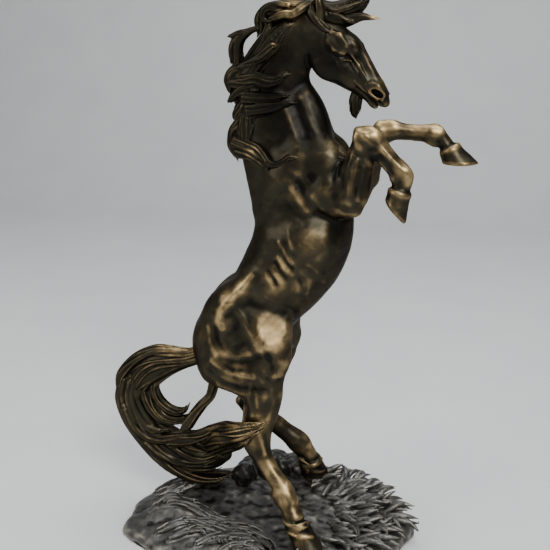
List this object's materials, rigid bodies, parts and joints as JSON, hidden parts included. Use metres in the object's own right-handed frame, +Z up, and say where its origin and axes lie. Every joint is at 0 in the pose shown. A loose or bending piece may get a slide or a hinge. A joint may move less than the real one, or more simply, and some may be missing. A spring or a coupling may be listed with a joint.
{
  "type": "rearing horse statue",
  "caption": "Rearing horse in patinated bronze with flowing mane and tail, both forelegs raised, standing on an oval rock-and-grass base.",
  "frame": {"origin": "on the flat underside of the felt, under the middle of the horse", "axes": "+Z up, the horse faces +X, its right side is -Y"},
  "size_m": [0.3699, 0.2081, 0.5608],
  "materials": {
    "bronze_body": "dark brown patina over bronze, waxed, satin to glossy, golden where rubbed",
    "bronze_rubbed": "brown patina rubbed through to gold bronze on knees, cannons and fetlocks",
    "bronze_hair": "black-brown patina, glossy ridges, dull grooves",
    "bronze_ground": "near-black patina, rough cast texture with worn tips",
    "bronze_inner": "raw bronze, machined",
    "steel": "zinc-plated steel",
    "felt": "black wool felt"
  },
  "bodies": {
    "root": {"base_felt": "felt", "base_shell": "bronze_ground", "rock_mound": "bronze_ground", "grass_right": "bronze_ground", "grass_front": "bronze_ground", "grass_left": "bronze_ground", "fixing_studs": "steel", "fixing_washers": "steel", "fixing_nuts": "steel", "rear_torso": "bronze_body", "front_torso": "bronze_body", "waist_sleeve": "bronze_inner", "neck": "bronze_body", "neck_sleeve": "bronze_inner", "right_hind_leg": "bronze_rubbed", "left_hind_leg": "bronze_rubbed", "right_foreleg": "bronze_rubbed", "left_foreleg": "bronze_rubbed", "foreleg_dowels": "bronze_inner", "head": "bronze_body", "head_dowel": "bronze_inner", "right_ear": "bronze_body", "left_ear": "bronze_body", "forelock_front": "bronze_rubbed", "forelock_crest": "bronze_body", "chin_tuft": "bronze_hair", "mane_curl": "bronze_body", "mane_loop": "bronze_body", "mane_upper": "bronze_hair", "mane_middle": "bronze_hair", "mane_lower": "bronze_hair", "tail_upper": "bronze_hair", "tail_lower": "bronze_hair", "tail_tip": "bronze_hair", "tail_strand": "bronze_body"}
  },
  "joints": []
}
